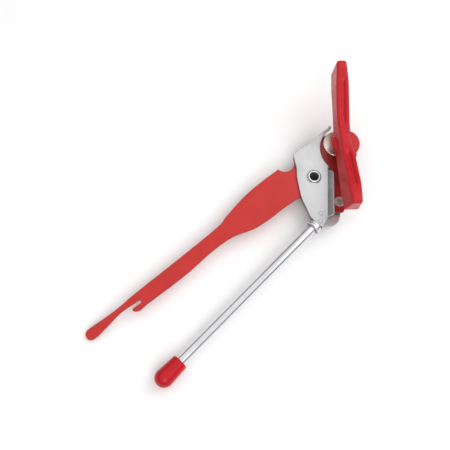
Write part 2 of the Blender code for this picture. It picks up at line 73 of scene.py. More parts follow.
KEY_AXIS = axis_of("drive_shaft")
CUTTER_AXIS = axis_of("cutter_stud")
TAIL_HOLE = axis_of("hang_eyelet")
DISC_AXIS = axis_of("eccentric_disc")
PIVOT = np.zeros(2)
print("key axis", KEY_AXIS.round(2), "cutter axis", CUTTER_AXIS.round(2))

# %% [markdown]
# ## Surfaces from arrays
# Two kinds of shape make the whole opener. A turned piece is a profile carried round an axis; a sheet
# piece is an outline whose rounded edge is carried along its loops, with two flat faces between them.
# Both are grids of points worked out as whole arrays. Fillets are put into a profile before it is
# turned, because a real edge always catches a thin line of light.

# %% Mesh helpers
WELD = 0.5e-6                   # metres: points closer than this are one
TURNED_SHARP, SHEET_SHARP = 35.0, 50.0    # degrees: a steeper edge stays sharp


def link_piece(name, mesh, body, nodes, finish, smooth_angle):
    """Shade a finished mesh, give it its finish, and let the piece ride on a body."""
    mesh.shade_smooth()
    mesh.set_sharp_from_angle(angle=math.radians(smooth_angle))
    piece = bpy.data.objects.new(name, mesh)
    bpy.context.collection.objects.link(piece)
    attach(piece, body)
    if nodes:
        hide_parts(*nodes)
    mesh.materials.append(finish)
    print("%-18s %6d faces" % (name, len(mesh.polygons)))
    return piece


def add_piece(name, points, faces, body, nodes, finish):
    """Put points (mm) and faces into a mesh, weld what meets, and link it as a piece."""
    mesh = bpy.data.meshes.new(name)
    mesh.from_pydata((np.asarray(points) * MM).tolist(), [], faces)
    builder = bmesh.new()
    builder.from_mesh(mesh)
    bmesh.ops.remove_doubles(builder, verts=builder.verts, dist=WELD)
    bmesh.ops.recalc_face_normals(builder, faces=builder.faces)
    builder.to_mesh(mesh)
    builder.free()
    return link_piece(name, mesh, body, nodes, finish, TURNED_SHARP)


def grid_faces(rows, columns, closed_rows=False, offset=0):
    """Quads of a grid whose columns close on themselves; rows close too if asked."""
    steps = rows if closed_rows else rows - 1
    row = np.arange(steps)[:, None]
    column = np.arange(columns)[None, :]
    after_row = (row + 1) % rows
    after_column = (column + 1) % columns
    quads = np.stack([row * columns + column, row * columns + after_column,
                      after_row * columns + after_column, after_row * columns + column], axis=-1)
    return (quads.reshape(-1, 4) + offset).tolist()


def filleted(profile, radius=0.25, steps=3, closed=False):
    """Round every corner of a profile of (radius, height) points.

    Each corner is replaced by a quadratic curve: it starts and ends a distance d before and after
    the corner, where d is the smaller of the radius and 0.45 of the shorter neighbour.
    """
    points = np.array(profile, float)
    count = len(points)
    rounded = []
    for index in range(count):
        here = points[index]
        if not closed and index in (0, count - 1):
            rounded.append(here)
            continue
        before, after = points[index - 1], points[(index + 1) % count]
        back, ahead = before - here, after - here
        reach = min(radius, 0.45 * np.hypot(*back), 0.45 * np.hypot(*ahead))
        start = here + back / np.hypot(*back) * reach
        stop = here + ahead / np.hypot(*ahead) * reach
        t = np.linspace(0, 1, steps + 1)[:, None]
        rounded.extend((1 - t) ** 2 * start + 2 * t * (1 - t) * here + t ** 2 * stop)
    return np.array(rounded)


def ring_points(profile, around, place=None, shape=None):
    """Carry a profile of (radius, height) round Z: x = r cos a, y = r sin a, z = height.

    shape(r, z, a) may change the radius with the angle, as for teeth or a hexagon, and place is a
    4x4 matrix, in millimetres, that takes the piece to its own axis.
    """
    angle = np.linspace(0, 2 * np.pi, around, endpoint=False)[None, :]
    radius = profile[:, :1] * np.ones_like(angle)
    height = profile[:, 1:] * np.ones_like(angle)
    if shape is not None:
        radius = shape(radius, height, angle)
    points = np.stack([radius * np.cos(angle), radius * np.sin(angle), height], axis=-1).reshape(-1, 3)
    if place is not None:
        matrix = np.array(place)
        points = points @ matrix[:3, :3].T + matrix[:3, 3]
    return points


def turned(name, profile, centre, body, nodes, finish, around=96, hollow=False, place=None,
           shape=None, fillet=0.25):
    """A turned piece: fillet the profile, carry it round the axis, close its ends on the axis."""
    profile = filleted(profile, fillet, closed=hollow)
    if place is None:
        place = Matrix.Translation((centre[0], centre[1], 0))
    points = ring_points(profile, around, place, shape)
    faces = grid_faces(len(profile), around, closed_rows=hollow)
    if not hollow:
        last = (len(profile) - 1) * around
        faces.append(list(range(around)))
        faces.append(list(range(last, last + around)))
    return add_piece(name, points, faces, body, nodes, finish)


# %% [markdown]
# ## Finishes
# Six finishes cover the opener: red stove enamel on the lever, glossy red plastic on the key and the
# cap, satin nickel on the cheeks, the same nickel with painted shade in its bore and groove on the
# pivot rivet, bright chrome on the rod, and ground steel on the wheels. They draw on three shared
# effects,
# which are node groups: handling marks, the lines of a brush, and the rings of a lathe. A group only
# puts out masks and heights; numbers that are the same everywhere are set on the Principled shader
# itself.

# %% Node helpers
def new_group(name, inputs, outputs):
    """An empty shader node group with float inputs (name: value) and float outputs."""
    group = bpy.data.node_groups.new(name, "ShaderNodeTree")
    for label, value in inputs.items():
        socket = group.interface.new_socket(label, in_out="INPUT", socket_type="NodeSocketFloat")
        socket.default_value = value
    group.interface.new_socket("Vector", in_out="INPUT", socket_type="NodeSocketVector")
    for label in outputs:
        group.interface.new_socket(label, in_out="OUTPUT", socket_type="NodeSocketFloat")
    entry = group.nodes.new("NodeGroupInput")
    leave = group.nodes.new("NodeGroupOutput")
    return group, entry, leave


def noise(tree, vector, scale, detail=3.0, roughness=0.5):
    """A 3-D noise texture read at a vector socket."""
    node = tree.nodes.new("ShaderNodeTexNoise")
    node.inputs["Detail"].default_value = detail
    node.inputs["Roughness"].default_value = roughness
    if isinstance(scale, (int, float)):
        node.inputs["Scale"].default_value = scale
    else:
        tree.links.new(scale, node.inputs["Scale"])
    tree.links.new(vector, node.inputs["Vector"])
    return node.outputs["Fac"]


def remap(tree, value, low, high, to_low=0.0, to_high=1.0):
    """Linear map of a value from low..high to to_low..to_high, clamped."""
    node = tree.nodes.new("ShaderNodeMapRange")
    node.inputs["From Min"].default_value = low
    node.inputs["From Max"].default_value = high
    node.inputs["To Min"].default_value = to_low
    node.inputs["To Max"].default_value = to_high
    tree.links.new(value, node.inputs["Value"])
    return node.outputs["Result"]


def combine(tree, operation, first, second):
    """A Math node; either side may be a socket or a number."""
    node = tree.nodes.new("ShaderNodeMath")
    node.operation = operation
    for socket, value in zip(node.inputs, (first, second)):
        if isinstance(value, (int, float)):
            socket.default_value = value
        else:
            tree.links.new(value, socket)
    return node.outputs["Value"]


def axis_distance(tree, vector):
    """Distance of a vector from the Z axis: its length once its Z is set to nought."""
    flat = tree.nodes.new("ShaderNodeVectorMath")
    flat.operation = "MULTIPLY"
    flat.inputs[1].default_value = (1.0, 1.0, 0.0)
    tree.links.new(vector, flat.inputs[0])
    reach = tree.nodes.new("ShaderNodeVectorMath")
    reach.operation = "LENGTH"
    tree.links.new(flat.outputs["Vector"], reach.inputs[0])
    return reach.outputs["Value"]


# %% [markdown]
# ### Shared effects
# *Handling* is a broad cloud of smudges, for the roughness and a faint shade, with a fine grain beside
# it. *Brushing* stretches a noise fiftyfold along one direction, as a belt or a wheel marks metal.
# *Turning* reads the distance from an axis, so its lines are rings.

# %% The three groups
def handling_group():
    """Smudge = broad noise stepped softly; Grain = fine noise for orange peel or waviness."""
    group, entry, leave = new_group("handling", {"Patch": 90.0, "Fine": 2500.0}, ("Smudge", "Grain"))
    cloud = noise(group, entry.outputs["Vector"], entry.outputs["Patch"], 5.0, 0.6)
    group.links.new(remap(group, cloud, 0.38, 0.68), leave.inputs["Smudge"])
    fine = noise(group, entry.outputs["Vector"], entry.outputs["Fine"], 2.0)
    group.links.new(fine, leave.inputs["Grain"])
    return group


def brushing_group():
    """Lines = noise of the vector with X times 0.02, so that its cells become long lines.

    Scratches = the peaks of a coarser noise, stretched the same way but leaning by 37 degrees.
    """
    group, entry, leave = new_group("brushing", {"Lines per m": 4000.0}, ("Lines", "Scratches"))
    squeeze = group.nodes.new("ShaderNodeMapping")
    squeeze.inputs["Scale"].default_value = (0.02, 1.0, 1.0)
    group.links.new(entry.outputs["Vector"], squeeze.inputs["Vector"])
    lines = noise(group, squeeze.outputs["Vector"], entry.outputs["Lines per m"], 3.0, 0.6)
    group.links.new(lines, leave.inputs["Lines"])
    lean = group.nodes.new("ShaderNodeMapping")
    lean.inputs["Rotation"].default_value = (0.0, 0.0, math.radians(37.0))
    lean.inputs["Scale"].default_value = (0.03, 1.0, 1.0)
    group.links.new(entry.outputs["Vector"], lean.inputs["Vector"])
    marks = noise(group, lean.outputs["Vector"], 900.0, 1.0)
    group.links.new(remap(group, marks, 0.66, 0.74), leave.inputs["Scratches"])
    return group


def turning_group():
    """Rings = noise of the distance from the vector's Z axis, the mark of a lathe tool."""
    group, entry, leave = new_group("turning", {"Rings per m": 5000.0}, ("Rings",))
    radius = group.nodes.new("ShaderNodeCombineXYZ")
    group.links.new(axis_distance(group, entry.outputs["Vector"]), radius.inputs["X"])
    rings = noise(group, radius.outputs["Vector"], entry.outputs["Rings per m"], 2.0)
    group.links.new(rings, leave.inputs["Rings"])
    return group


HANDLING = handling_group()
BRUSHING = brushing_group()
TURNING = turning_group()
print("node groups:", [group.name for group in (HANDLING, BRUSHING, TURNING)])


# %% [markdown]
# ### One way to start a material
# Every material starts from Object coordinates, moved so that the piece's own axis is at the middle.
# The first helper returns the tree, the shader and that vector; the second places a group in it.

# %% Material helpers
def start_material(name, centre=(0.0, 0.0), turn=0.0):
    """A node material whose pattern is centred on a plan position (mm) and turned by an angle."""
    material = bpy.data.materials.new(name)
    material.use_nodes = True
    tree = material.node_tree
    coordinates = tree.nodes.new("ShaderNodeTexCoord")
    place = tree.nodes.new("ShaderNodeMapping")
    place.vector_type = "TEXTURE"
    place.inputs["Location"].default_value = (centre[0] * MM, centre[1] * MM, 0.0)
    place.inputs["Rotation"].default_value = (0.0, 0.0, turn)
    tree.links.new(coordinates.outputs["Object"], place.inputs["Vector"])
    return material, tree, tree.nodes["Principled BSDF"], place.outputs["Vector"]


def use_group(tree, group, vector, **values):
    """Place a node group, feed its vector and set its own values."""
    node = tree.nodes.new("ShaderNodeGroup")
    node.node_tree = group
    tree.links.new(vector, node.inputs["Vector"])
    for label, value in values.items():
        node.inputs[label.replace("_", " ")].default_value = value
    return node.outputs


def mix_colours(tree, factor, first, second):
    """Blend from one colour to another by a factor socket; a colour may be a tuple or a socket."""
    node = tree.nodes.new("ShaderNodeMix")
    node.data_type = "RGBA"
    tree.links.new(factor, node.inputs["Factor"])
    for socket, colour in ((node.inputs["A"], first), (node.inputs["B"], second)):
        if isinstance(colour, tuple):
            socket.default_value = (*colour, 1.0)
        else:
            tree.links.new(colour, socket)
    return node.outputs["Result"]


def bump(tree, shader, height, strength, distance):
    """Raise the surface by a height socket, in metres of distance."""
    node = tree.nodes.new("ShaderNodeBump")
    node.inputs["Strength"].default_value = strength
    node.inputs["Distance"].default_value = distance
    tree.links.new(height, node.inputs["Height"])
    tree.links.new(node.outputs["Normal"], shader.inputs["Normal"])


def edge_mask(tree):
    """The mesh's own edge attribute: 1 on a sheet's rounded rim, 0 on its flat faces."""
    node = tree.nodes.new("ShaderNodeAttribute")
    node.attribute_name = "rim"
    return node.outputs["Fac"]


# %% [markdown]
# ### Red stove enamel
# The lever is stamped steel dipped in a thick lacquer and baked. Its rims are painted darker, a painted
# shade on the rounded edges, and its skin has a faint orange peel. A thin coat layer over a rougher
# base gives the soft double highlight of enamel. Round the drive and on the tail, where the key and the
# cheeks would shade the lever, a painted shadow darkens the red.

# %% Red enamel
def red_enamel():
    """Base red with painted shade on the rims, darker under smudges, and a painted shadow; orange peel
    from the grain.

    The painted shadow covers what lies right of x = 6 mm or below y = -17 mm, with a cloudy border.
    """
    material, tree, shader, vector = start_material("red_enamel")
    marks = use_group(tree, HANDLING, vector, Patch=70.0, Fine=1500.0)
    broad = mix_colours(tree, marks["Smudge"], (0.54, 0.021, 0.017), (0.49, 0.018, 0.014))
    # painted shade: the rounded rims are darkened towards a deep red, as if they turned away from the
    # light
    painted_rim_shade = remap(tree, edge_mask(tree), 0.3, 1.0, 0.0, 0.62)
    # painted shadow: the red goes near black right of the eye's middle and on the tail, where the key
    # and cheeks shade the lever
    split = tree.nodes.new("ShaderNodeSeparateXYZ")
    tree.links.new(vector, split.inputs["Vector"])
    right = remap(tree, split.outputs["X"], 0.0, 0.012)
    below = remap(tree, split.outputs["Y"], -0.013, -0.021)
    painted_shadow = combine(tree, "MAXIMUM", right, below)
    painted_shadow_share = combine(tree, "MULTIPLY", painted_shadow, remap(tree, marks["Smudge"], 0.0, 1.0, 0.55, 0.86))
    shaded_red = mix_colours(tree, painted_shadow_share, broad, (0.13, 0.006, 0.005))
    tree.links.new(mix_colours(tree, painted_rim_shade, shaded_red, (0.20, 0.010, 0.009)), shader.inputs["Base Color"])
    tree.links.new(remap(tree, marks["Smudge"], 0.0, 1.0, 0.32, 0.42), shader.inputs["Roughness"])
    shader.inputs["Coat Weight"].default_value = 0.1
    shader.inputs["Coat Roughness"].default_value = 0.12
    shader.inputs["Specular IOR Level"].default_value = 0.35
    bump(tree, shader, marks["Grain"], 0.12, 0.00008)
    return material


# %% [markdown]
# ### Glossy red plastic
# Key and cap are moulded in a cooler, more even red. Light goes a little way into plastic, which a
# small subsurface weight imitates. Handling leaves it duller in patches, and there is no grain that
# the eye can see, only a slight waviness where it shrank in the mould.

# %% Red plastic
def red_plastic():
    """Even red with duller patches; waviness from a broad noise."""
    material, tree, shader, vector = start_material("red_plastic")
    marks = use_group(tree, HANDLING, vector, Patch=110.0, Fine=420.0)
    shade = mix_colours(tree, marks["Smudge"], (0.51, 0.007, 0.014), (0.47, 0.006, 0.012))
    tree.links.new(shade, shader.inputs["Base Color"])
    tree.links.new(remap(tree, marks["Smudge"], 0.0, 1.0, 0.24, 0.31), shader.inputs["Roughness"])
    shader.inputs["Subsurface Weight"].default_value = 0.05
    shader.inputs["Subsurface Scale"].default_value = 0.002
    shader.inputs["Specular IOR Level"].default_value = 0.28
    bump(tree, shader, marks["Grain"], 0.06, 0.0001)
    return material


# %% [markdown]
# ### The metals
# Satin nickel is brushed along the cheek and then plated, so its lines are soft; its rims carry painted
# shade.
# Chrome is the same idea with almost no lines left, only wiping marks. The wheels, washers and shaft
# are turned and hardened, which leaves rings round their own axis and a darker, warmer grey. The pivot
# rivet's bore and the groove round its rim are painted near black, a painted shade for the shadow in
# those hollows.

# %% Metals
BRUSH_TURN = math.radians(52.0)
CHROME_TURN = math.radians(9.3)


def satin_nickel():
    """Metal whose roughness and height follow brushing lines turned to the cheek's long direction."""
    material, tree, shader, vector = start_material("satin_nickel", turn=BRUSH_TURN)
    marks = use_group(tree, HANDLING, vector, Patch=60.0, Fine=3000.0)
    lines = use_group(tree, BRUSHING, vector, Lines_per_m=5000.0)
    tone = combine(tree, "ADD", combine(tree, "MULTIPLY", lines["Lines"], 0.6),
                   combine(tree, "MULTIPLY", marks["Smudge"], 0.4))
    # painted shade: the rounded rims are mixed half way to a darker grey, as if they turned away from
    # the light
    painted_rim_shade = combine(tree, "MULTIPLY", edge_mask(tree), 0.5)
    base = mix_colours(tree, tone, (0.55, 0.55, 0.56), (0.46, 0.46, 0.46))
    tree.links.new(mix_colours(tree, painted_rim_shade, base, (0.42, 0.42, 0.43)), shader.inputs["Base Color"])
    rough = combine(tree, "ADD", remap(tree, marks["Smudge"], 0.0, 1.0, 0.28, 0.38),
                    combine(tree, "MULTIPLY", lines["Lines"], 0.10))
    tree.links.new(rough, shader.inputs["Roughness"])
    shader.inputs["Metallic"].default_value = 1.0
    height = combine(tree, "SUBTRACT", lines["Lines"], lines["Scratches"])
    bump(tree, shader, height, 0.10, 0.00004)
    return material


def rivet_nickel():
    """Nickel with painted shade: near black, rough and not metallic in the bore and in the rim's
    groove.

    The bore is every point nearer the axis than 3.3 mm and in front of the rear head's flat face.
    """
    material, tree, shader, vector = start_material("rivet_nickel")
    marks = use_group(tree, HANDLING, vector, Patch=160.0, Fine=2500.0)
    radius = axis_distance(tree, vector)
    # painted shade: the bore and the groove round the rim are coloured near black, as if they lay in
    # shadow
    bore = remap(tree, radius, 0.00315, 0.0036, 0.97, 0.0)
    off_groove = combine(tree, "ABSOLUTE", combine(tree, "SUBTRACT", radius, 0.00495), 0.0)
    groove = remap(tree, off_groove, 0.00012, 0.00035, 0.85, 0.0)
    split = tree.nodes.new("ShaderNodeSeparateXYZ")
    tree.links.new(vector, split.inputs["Vector"])
    in_front = remap(tree, split.outputs["Z"], 0.0009, 0.0013)
    painted_recess_shade = combine(tree, "MULTIPLY", combine(tree, "MAXIMUM", bore, groove), in_front)
    bare_nickel = mix_colours(tree, marks["Smudge"], (0.78, 0.78, 0.79), (0.66, 0.66, 0.66))
    tree.links.new(mix_colours(tree, painted_recess_shade, bare_nickel, (0.035, 0.033, 0.03)), shader.inputs["Base Color"])
    tree.links.new(remap(tree, painted_recess_shade, 0.0, 1.0, 0.2, 0.6), shader.inputs["Roughness"])
    tree.links.new(remap(tree, painted_recess_shade, 0.0, 1.0, 1.0, 0.0), shader.inputs["Metallic"])
    bump(tree, shader, marks["Grain"], 0.08, 0.00004)
    return material


def bright_chrome():
    """Mirror metal with wiping marks that only change its roughness."""
    material, tree, shader, vector = start_material("bright_chrome", turn=CHROME_TURN)
    marks = use_group(tree, HANDLING, vector, Patch=140.0, Fine=3000.0)
    lines = use_group(tree, BRUSHING, vector, Lines_per_m=2500.0)
    tree.links.new(mix_colours(tree, marks["Smudge"], (0.80, 0.80, 0.82), (0.74, 0.74, 0.76)),
                   shader.inputs["Base Color"])
    rough = combine(tree, "ADD", remap(tree, marks["Smudge"], 0.0, 1.0, 0.05, 0.13),
                    combine(tree, "MULTIPLY", lines["Scratches"], 0.10))
    tree.links.new(rough, shader.inputs["Roughness"])
    shader.inputs["Metallic"].default_value = 1.0
    bump(tree, shader, lines["Lines"], 0.03, 0.00003)
    return material


def ground_steel(name, centre, light=(0.56, 0.50, 0.44), dark=(0.40, 0.35, 0.31),
                 dull=(0.34, 0.30, 0.26)):
    """Steel with turning rings about a plan position in millimetres, duller under smudges."""
    material, tree, shader, vector = start_material(name, centre)
    marks = use_group(tree, HANDLING, vector, Patch=160.0, Fine=2500.0)
    rings = use_group(tree, TURNING, vector, Rings_per_m=3200.0)
    base = mix_colours(tree, rings["Rings"], light, dark)
    tree.links.new(mix_colours(tree, marks["Smudge"], base, dull), shader.inputs["Base Color"])
    tree.links.new(remap(tree, marks["Smudge"], 0.0, 1.0, 0.24, 0.42), shader.inputs["Roughness"])
    shader.inputs["Metallic"].default_value = 1.0
    bump(tree, shader, rings["Rings"], 0.25, 0.00004)
    return material


ENAMEL = red_enamel()
PLASTIC = red_plastic()
NICKEL = satin_nickel()
RIVET_METAL = rivet_nickel()
CHROME = bright_chrome()
STEEL_KEY = ground_steel("ground_steel_key", KEY_AXIS)
STEEL_CUTTER = ground_steel("ground_steel_cutter", CUTTER_AXIS)
STEEL_PIVOT = ground_steel("ground_steel_pivot", PIVOT)
STEEL_DISC = ground_steel("ground_steel_disc", DISC_AXIS, (0.86, 0.84, 0.76), (0.70, 0.68, 0.60),
                          (0.62, 0.60, 0.52))
print("finishes:", sorted(material.name for material in bpy.data.materials if material.use_nodes))

# %% [markdown]
# ## Sheet pieces
# Cheeks and lever are stamped from sheet. Each starts as a flat pattern: an outline and its holes. The
# stamping's rounded edge is a small profile carried along every loop, and the two faces between the
# loops are filled. The flat pattern is then cut across wherever it bends, and the bend is a function
# that moves all its points at once, just as a press folds a real blank.

# %% Curves for outlines
def arc(centre, radius, start, stop, count):
    """Points on a circular arc, angles in degrees."""
    angle = np.radians(np.linspace(start, stop, count))
    return np.stack([centre[0] + radius * np.cos(angle), centre[1] + radius * np.sin(angle)], axis=1)


def flowing(points, steps=8):
    """Catmull-Rom curve: on each span, a cubic whose end slopes are half the neighbours' chord."""
    points = np.array(points, float)
    ends = np.vstack([points[:1], points, points[-1:]])
    before, here, there, after = (ends[k:len(ends) - 3 + k] for k in range(4))
    t = np.linspace(0, 1, steps, endpoint=False)[:, None, None]
    curve = 2 * here + (there - before) * t + (2 * before - 5 * here + 4 * there - after) * t ** 2
    curve = (curve + (3 * here - before - 3 * there + after) * t ** 3) / 2
    return np.vstack([curve.transpose(1, 0, 2).reshape(-1, 2), points[-1:]])


def hole(centre, radius, count=64):
    """A hole's loop, clockwise, so that the sheet lies on its left as it does for the outline."""
    return arc(centre, radius, 360.0, 360.0 / count, count)


# %% The sheet builder
def rim_profile(low, high, edge):
    """(inset, height) from the rear face round the edge to the front face, both corners rounded."""
    t = np.linspace(0, np.pi / 2, 5)
    rear = np.stack([edge * (1 - np.sin(t)), low + edge * (1 - np.cos(t))], axis=1)
    front = np.stack([edge * (1 - np.cos(t)), high - edge * (1 - np.sin(t))], axis=1)
    return np.vstack([[(edge * 1.6, low)], rear, front, [(edge * 1.6, high)]])


def sheet_piece(name, loops, low, high, body, nodes, finish, edge=0.3, cuts=(), bend=None):
    """A stamped sheet. Each loop's point moves inwards by the rim profile's inset along its normal.

    cuts are (point, normal) planes that give the sheet vertices where it bends, and bend takes and
    returns an array of points in millimetres.
    """
    profile = rim_profile(low, high, edge)
    builder = bmesh.new()
    rim = builder.verts.layers.float.new("rim")
    for loop in loops:
        ahead = np.roll(loop, -1, axis=0) - np.roll(loop, 1, axis=0)
        inward = np.stack([-ahead[:, 1], ahead[:, 0]], axis=1) / np.hypot(*ahead.T)[:, None]
        plan = loop[None] + profile[:, 0][:, None, None] * inward[None]
        height = np.broadcast_to(profile[:, 1][:, None, None], plan.shape[:2] + (1,))
        points = np.concatenate([plan, height], axis=2)
        verts = [[builder.verts.new(point) for point in row] for row in points.tolist()]
        for row, after in zip(verts, verts[1:]):
            for corners in zip(row, row[1:] + row[:1], after[1:] + after[:1], after):
                builder.faces.new(corners)
        for row in verts[2:-2]:
            for vert in row:
                vert[rim] = 1.0
    for height in (low, high):
        open_edges = [edge for edge in builder.edges
                      if edge.is_boundary and abs(edge.verts[0].co.z - height) < 1e-4]
        bmesh.ops.triangle_fill(builder, use_beauty=True, use_dissolve=False, edges=open_edges)
    for point, normal in cuts:
        everything = builder.verts[:] + builder.edges[:] + builder.faces[:]
        bmesh.ops.bisect_plane(builder, geom=everything, plane_co=point, plane_no=normal)
    bmesh.ops.triangulate(builder, faces=[face for face in builder.faces if len(face.verts) > 4])
    bmesh.ops.recalc_face_normals(builder, faces=builder.faces)
    mesh = bpy.data.meshes.new(name)
    builder.to_mesh(mesh)
    builder.free()
    points = np.zeros(len(mesh.vertices) * 3)
    mesh.vertices.foreach_get("co", points)
    points = points.reshape(-1, 3)
    if bend is not None:
        points = bend(points)
    mesh.vertices.foreach_set("co", (points * MM).ravel())
    mesh.update()
    link_piece(name, mesh, body, nodes, finish, SHEET_SHARP)


# %% [markdown]
# ## The front cheek
# A flat plate with a round notch that the key's hub looks through. Its right edge is folded up into a
# lip that stiffens it and keeps fingers off the key. A press fold isn't a crease: it's a part of a
# cylinder. A point at distance s past the start of the fold goes round by the angle s / R until the
# full angle is reached, and straight on after that.

# %% Cheek outline and fold
FOLD_TOP = np.array([12.5, -1.1])
FOLD_BOTTOM = np.array([-11.3, -30.1])
FOLD_ANGLE = math.radians(55.0)
FOLD_RADIUS = 1.5
LIP_TOP, LIP_BOTTOM, LIP_CORNER = 5.4, 6.2, 2.5
NOTCH, NOTCH_RADIUS = (34.4, 3.4), 20.0
RIVET_RIM = 1.4                 # how far the rolled rim stands in front of the cheek
CHEEK_LOW, CHEEK_HIGH = span("front_cheek")[0][2], span("pivot_rivet")[1][2] - RIVET_RIM
SMALL_RIVETS = [axis_of("socket_rivet_1"), axis_of("socket_rivet_2")]
PIVOT_HOLE, SMALL_HOLE, BUSH_HOLE, EYELET_HOLE, STUD_HOLE = 4.5, 1.53, 6.35, 3.0, 2.9
fold_along = (FOLD_TOP - FOLD_BOTTOM) / np.hypot(*(FOLD_TOP - FOLD_BOTTOM))
fold_out = np.array([fold_along[1], -fold_along[0]])
print("front cheek from", round(CHEEK_LOW, 2), "to", round(CHEEK_HIGH, 2), "mm")


def left_edge(inset=0.0):
    """Outer edge of a cheek, from the bottle opener's lip down to its bottom tip."""
    points = [(-20.2, -34.6), (-21.4, -28.9), (-21.9, -23.2), (-20.1, -15.9), (-18.1, -7.9),
              (-14.7, -0.6), (-10.3, 7.6), (-6.1, 13.4), (-1.4, 23.2)]
    return flowing(points)[::-1] + np.array([inset, 0.0])


def fold_lip(points):
    """Bend the flat pattern: angle a = clamp(s / R), then place the point on the bent middle layer."""
    middle = (CHEEK_LOW + CHEEK_HIGH) / 2
    half = (CHEEK_HIGH - CHEEK_LOW) / 2
    start = -(FOLD_RADIUS - half) * math.tan(FOLD_ANGLE / 2)
    from_fold = (points[:, :2] - FOLD_BOTTOM) @ fold_out
    s = np.maximum(from_fold - start, 0.0)
    angle = np.clip(s / FOLD_RADIUS, 0.0, FOLD_ANGLE)
    straight = np.maximum(s - FOLD_RADIUS * FOLD_ANGLE, 0.0)
    across = FOLD_RADIUS * np.sin(angle) + straight * math.cos(FOLD_ANGLE)
    up = FOLD_RADIUS * (1 - np.cos(angle)) + straight * math.sin(FOLD_ANGLE)
    layer = points[:, 2] - middle
    moved = points.copy()
    shift = across - layer * np.sin(angle) - s
    moved[:, :2] += shift[:, None] * fold_out
    moved[:, 2] = middle + up + layer * np.cos(angle)
    return moved


# %% Front cheek
def front_cheek():
    """Flat pattern with its lip, its notch and its horn, and the fold applied."""
    lip_bottom = FOLD_BOTTOM + fold_out * LIP_BOTTOM
    lip_top = FOLD_TOP + fold_out * LIP_TOP - fold_along * LIP_CORNER
    lip = filleted([(-13.2, -31.8), FOLD_BOTTOM, lip_bottom, lip_top, FOLD_TOP], 1.6, 5)
    outline = np.vstack([left_edge(), lip, arc(NOTCH, NOTCH_RADIUS, 190.0, 84.0, 60),
                         [(36.7, 24.9), (35.6, 25.3)]])
    bottom = np.array([FOLD_BOTTOM[0], FOLD_BOTTOM[1], 0.0])
    out = np.array([fold_out[0], fold_out[1], 0.0])
    cuts = [(tuple(bottom + out * distance), tuple(out)) for distance in np.linspace(-0.4, 1.05, 8)]
    holes = [hole(PIVOT, PIVOT_HOLE)] + [hole(centre, SMALL_HOLE, 48) for centre in SMALL_RIVETS]
    sheet_piece("cheek_front", [outline] + holes, CHEEK_LOW, CHEEK_HIGH, "rod_handle",
                ["front_cheek"], NICKEL, edge=0.25, cuts=cuts, bend=fold_lip)


front_cheek()

# %% [markdown]
# ## The rear cheek
# The plate behind the lever follows the front cheek on the left. On the right it has a round lobe below
# and an open slot above, which leaves the shaft room to swing with the lever.

# %% Rear cheek
def rear_cheek():
    """Flat plate: the left edge, the lobe, the slot and the post for the cutter."""
    low, high = span("rear_cheek")[0][2], span("rear_cheek")[1][2]
    lobe = arc((-8.6, -28.0), 9.6, 215.0, 352.0, 48)
    slot = arc((33.0, 2.2), 9.0, 210.0, 115.0, 36)
    rest = filleted([(1.0, -29.2), (4.6, -29.0), (6.9, -26.4), (8.4, -22.0), (15.0, -10.0),
                     (25.5, -4.5), (26.0, -3.0)], 3.0, 6)
    top = filleted([(29.6, 11.0), (31.5, 12.5), (31.5, 22.0), (29.5, 23.6), (27.0, 23.6)], 1.5, 5)
    outline = np.vstack([left_edge(0.6), lobe, rest[1:-1], slot, top[1:-1]])
    sheet_piece("cheek_rear", [outline, hole(PIVOT, PIVOT_HOLE), hole(CUTTER_AXIS, STUD_HOLE)],
                low, high, "rod_handle", ["rear_cheek"], NICKEL, edge=0.25)


rear_cheek()

# %% [markdown]
# ## The lever
# One long stamping does four jobs: the eye that carries the key's bearing, the bottle opener's scoop
# behind the cheeks, the shank that is squeezed, and the forked finger that pries lids. The shank is
# set back by two degrees past the waist, and the finger curls further back, so that it finds a rim.

# %% Lever
LEVER_LOW, LEVER_HIGH = 4.4, 6.4
BEND_X, BEND_SLOPE = -75.0, math.tan(math.radians(2.0))
CURL_X, CURL_LENGTH, CURL_DROP = -156.0, 46.0, 5.9
EYE, EYE_RADIUS = (28.2, 6.6), 15.2


def lever_outline():
    """Counterclockwise from the eye: scoop, upper edge, tip, finger, fork, lower edge, tail."""
    eye = arc(EYE, EYE_RADIUS, -122.0, 95.0, 72)
    scoop = arc((-10.2, 22.2), 7.4, -12.0, -166.0, 40)
    upper = flowing([(-17.8, 20.6), (-33.0, 20.0), (-51.0, 18.0), (-71.0, 13.3), (-81.0, 10.4),
                     (-112.0, 7.8), (-158.0, 4.8), (-170.0, 3.6), (-182.0, 3.3), (-197.0, 3.9)])
    tip = arc((-197.9, 0.0), 3.9, 100.0, 260.0, 24)
    finger = flowing([(-194.7, -4.1), (-185.5, -2.6), (-173.5, -0.6), (-164.5, -0.6)])
    slot = arc((-158.4, -1.9), 1.2, 90.0, -90.0, 12)
    nub = filleted([(-164.0, -3.05), (-165.0, -3.1), (-165.9, -3.8), (-165.4, -5.2), (-163.6, -6.6),
                    (-161.0, -7.2)], 1.0, 4)
    lower = flowing([(-155.7, -6.5), (-121.0, -5.1), (-98.7, -2.5), (-86.0, -1.8), (-75.0, -2.5),
                     (-61.0, -6.0), (-48.0, -6.8), (-32.0, -6.0), (-17.0, -6.5), (-10.5, -11.0)])
    tail = flowing([(-6.5, -20.0), (-4.9, -26.5), (-4.3, -30.2), (-1.5, -32.8), (1.8, -33.7),
                    (5.2, -31.3), (8.3, -27.6), (13.5, -19.0)], 6)
    return np.vstack([eye, [(0.0, 21.2)], scoop, upper, tip, finger, slot, nub, lower, tail])


def set_back(points):
    """Drop = slope past the waist, eased over 3 mm, plus a parabola past the curl's start."""
    past = BEND_X - points[:, 0]
    ease = np.where(np.abs(past) < 3.0, (past + 3.0) ** 2 / 12.0, np.maximum(past, 0.0))
    curl = CURL_DROP * (np.maximum(CURL_X - points[:, 0], 0.0) / CURL_LENGTH) ** 2
    moved = points.copy()
    moved[:, 2] -= ease * BEND_SLOPE + curl
    return moved


